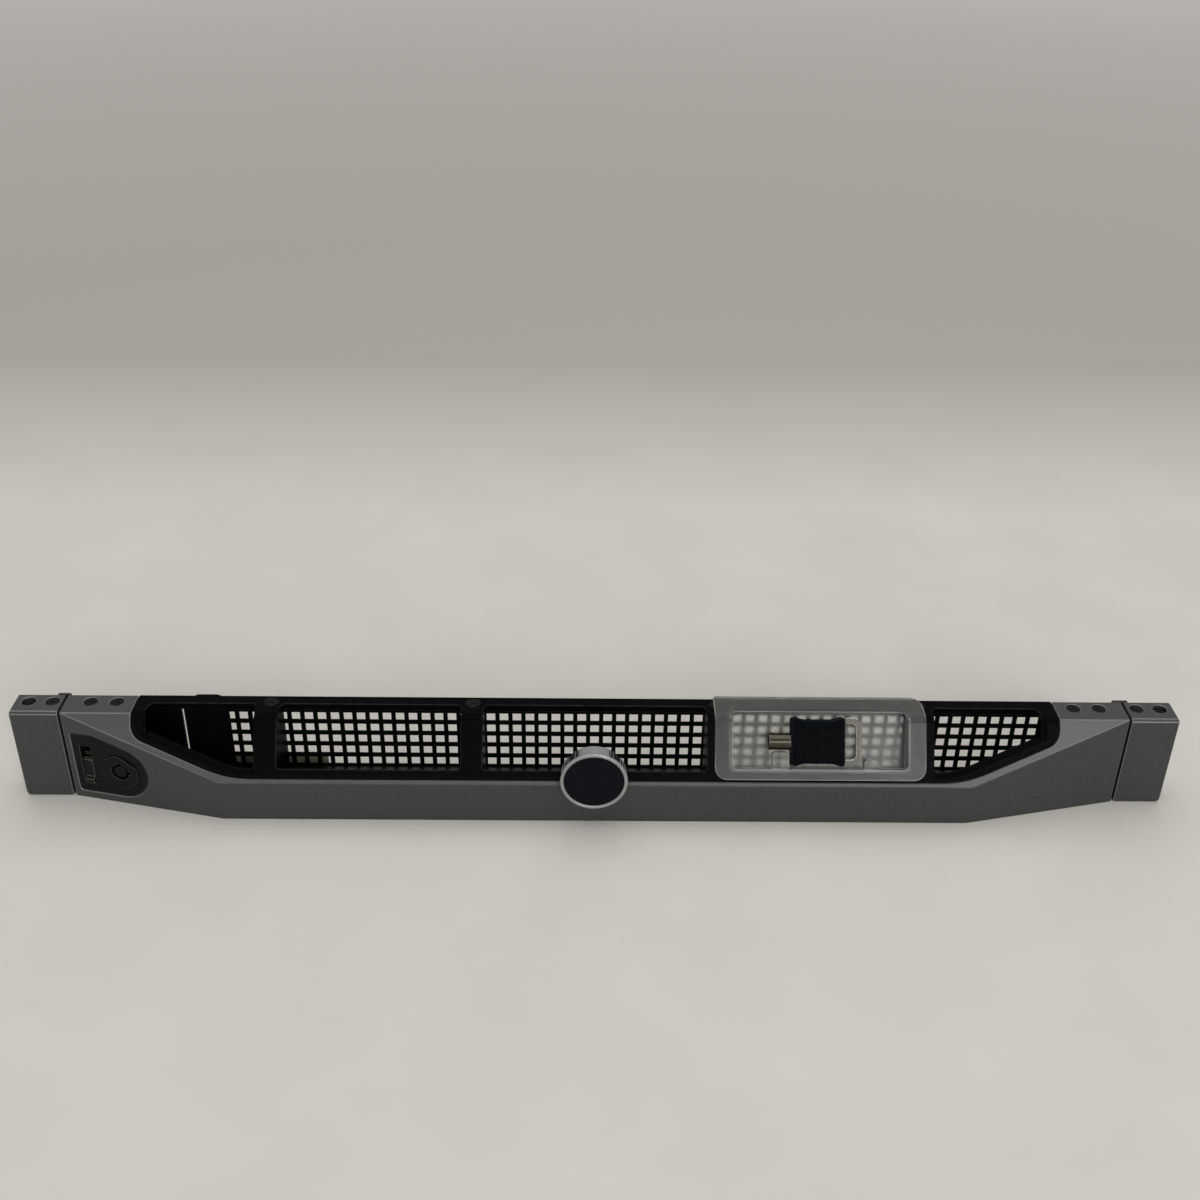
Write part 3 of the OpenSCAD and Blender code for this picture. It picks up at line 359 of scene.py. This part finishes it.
def refined(node, width):
    """Puts a copy of a CAD node in its place, with its edges rounded by width metres."""
    bm = bmesh.new()
    bm.from_mesh(NODES[node].data)
    bmesh.ops.remove_doubles(bm, verts=bm.verts, dist=WELD)
    bmesh.ops.dissolve_limit(bm, angle_limit=math.radians(FLAT), verts=bm.verts,
                             edges=bm.edges)
    bmesh.ops.dissolve_degenerate(bm, edges=bm.edges, dist=WELD)
    if node in CURVED:
        bmesh.ops.triangulate(bm, faces=bm.faces, quad_method="BEAUTY", ngon_method="BEAUTY")
    if node == "lock_barrel":
        pared(bm, RIM_GAP)
    mark = bm.faces.layers.int.new("mark")
    # faces marked 1 get the lightened edges, as wear and painted highlights; faces marked 2 are
    # only rounded
    plain, wear_and_highlight = 2, 1
    if node in CURVED:
        rounded(bm, width, 3, BEND, CREASE, mark, plain)
    rounded(bm, width, 3, CREASE if node in CURVED else BEND, 181, mark, wear_and_highlight)
    if node in HAS_FINE:
        rounded(bm, FINE, 2, SHARP, 181, mark, wear_and_highlight)
    edge = bm.verts.layers.float.new("edge")
    for vert in bm.verts:
        vert[edge] = float(all(face[mark] == wear_and_highlight for face in vert.link_faces))
    for e in bm.edges:
        e.smooth = len(e.link_faces) == 2 and e.calc_face_angle(0) < math.radians(SMOOTH)
    mesh = bpy.data.meshes.new(node + " refined")
    bm.to_mesh(mesh)
    bm.free()
    for polygon in mesh.polygons:
        polygon.use_smooth = True
    normals = piece(mesh, node + "_shell", node).modifiers.new("normals", "WEIGHTED_NORMAL")
    normals.keep_sharp = True


for name, width in ROUNDING.items():
    refined(name, width * MM)

# The return spring is put in as a copy of its node, on its body; the plate's ledge holds its upper
# end.
spring = piece(NODES["latch_spring"].data.copy(), "latch_spring_coil", "latch_spring")
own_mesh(spring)

# ------------------------------------------------- floor, lights and camera

BACKDROP = linear(180, 177, 172)     # seen behind the floor
SKY_LIGHT = (0.3, 0.297, 0.291)
FLOOR_SIZE = 12
SHADE_FROM, SHADE_TO = 0.26, 0.5     # metres behind the bezel over which the floor darkens
FADE_FROM, FADE_TO = 0.8, 2.4        # metres from it over which the floor becomes backdrop


def seen_rays(tree, *kinds):
    """A value that is 1 on the named kinds of ray and 0 on the others."""
    path = tree.nodes.new("ShaderNodeLightPath")
    total = path.outputs[kinds[0]]
    for kind in kinds[1:]:
        node = tree.nodes.new("ShaderNodeMath")
        node.operation = "MAXIMUM"
        tree.links.new(total, node.inputs[0])
        tree.links.new(path.outputs[kind], node.inputs[1])
        total = node.outputs["Value"]
    return total


world = bpy.data.worlds.new("studio")
bpy.context.scene.world = world
world.use_nodes = True
sky = world.node_tree
sky.nodes["Background"].inputs["Color"].default_value = (*SKY_LIGHT, 1)
shown = sky.nodes.new("ShaderNodeBackground")
shown.inputs["Color"].default_value = (*BACKDROP, 1)
either = sky.nodes.new("ShaderNodeMixShader")
sky.links.new(seen_rays(sky, "Is Camera Ray", "Is Glossy Ray", "Is Transmission Ray"),
              either.inputs[0])
sky.links.new(sky.nodes["Background"].outputs[0], either.inputs[1])
sky.links.new(shown.outputs[0], either.inputs[2])
sky.links.new(either.outputs[0], sky.nodes["World Output"].inputs["Surface"])

floor_paint = Paint("floor", linear(214, 211, 204), 0.8, Specular_IOR_Level=0.2)
floor_paint.mottle(0.06, 0.03, 4.0)
depth = floor_paint.add("ShaderNodeSeparateXYZ")
floor_paint.link(floor_paint.place, depth.inputs["Vector"])
floor_paint.layer(floor_paint.ramp(depth.outputs["Y"], SHADE_FROM, SHADE_TO),
                  linear(178, 175, 169))
reach = floor_paint.add("ShaderNodeVectorMath", operation="LENGTH")
floor_paint.link(floor_paint.place, reach.inputs[0])
haze = floor_paint.add("ShaderNodeEmission")
haze.inputs["Color"].default_value = (*BACKDROP, 1)
fade = floor_paint.add("ShaderNodeMixShader")
floor_paint.link(floor_paint.times(floor_paint.ramp(reach.outputs["Value"], FADE_FROM, FADE_TO),
                                   seen_rays(floor_paint.tree, "Is Camera Ray")), fade.inputs[0])
floor_paint.link(floor_paint.shader.outputs[0], fade.inputs[1])
floor_paint.link(haze.outputs[0], fade.inputs[2])
floor_paint.link(fade.outputs[0], floor_paint.tree.nodes["Material Output"].inputs["Surface"])
bpy.ops.mesh.primitive_plane_add(size=FLOOR_SIZE, location=(0, 0, CAD_BOX[0][2]))
floor = bpy.context.object
floor.name = "floor"
floor.data.materials.append(floor_paint.mat)


def lamp(name, place, target, size, power):
    """A softbox of power watts, size metres wide and high, turned from place to target."""
    data = bpy.data.lights.new(name, "AREA")
    data.shape = "RECTANGLE"
    data.size, data.size_y = size
    data.energy = power
    obj = bpy.data.objects.new(name, data)
    bpy.context.scene.collection.objects.link(obj)
    obj.location = place
    obj.rotation_euler = (Vector(target) - Vector(place)).to_track_quat("-Z", "Y").to_euler()


lamp("overhead", (0.0, 0.75, 3.2), (0, 0.1, 0), (4, 4), 62)
lamp("front fill", (0.0, -2.6, 1.25), (0, 0, 0), (3, 1.4), 25)
lamp("right front", (1.2, -2.6, 1.35), (0.1, 0, 0), (0.8, 0.8), 20)

# the photo's camera: where it stands, and the directions of its picture
EYE = Vector((-0.0062554, -0.4960806, 0.3852009))
RIGHT = Vector((0.99989627, -0.00629977, 0.01295229))
DOWN = Vector((0.00792254, -0.51044005, -0.85987685))
AHEAD = Vector((0.01202839, 0.85989027, -0.51033719))
optics = bpy.data.cameras.new("camera")
optics.lens = 43.056
optics.sensor_width = 36
optics.clip_start = 0.01
camera = bpy.data.objects.new("camera", optics)
bpy.context.scene.collection.objects.link(camera)
camera.matrix_world = Matrix.Translation(EYE) @ Matrix((RIGHT, -DOWN, -AHEAD)).transposed().to_4x4()
bpy.context.scene.camera = camera
bpy.context.scene.view_settings.view_transform = "Standard"
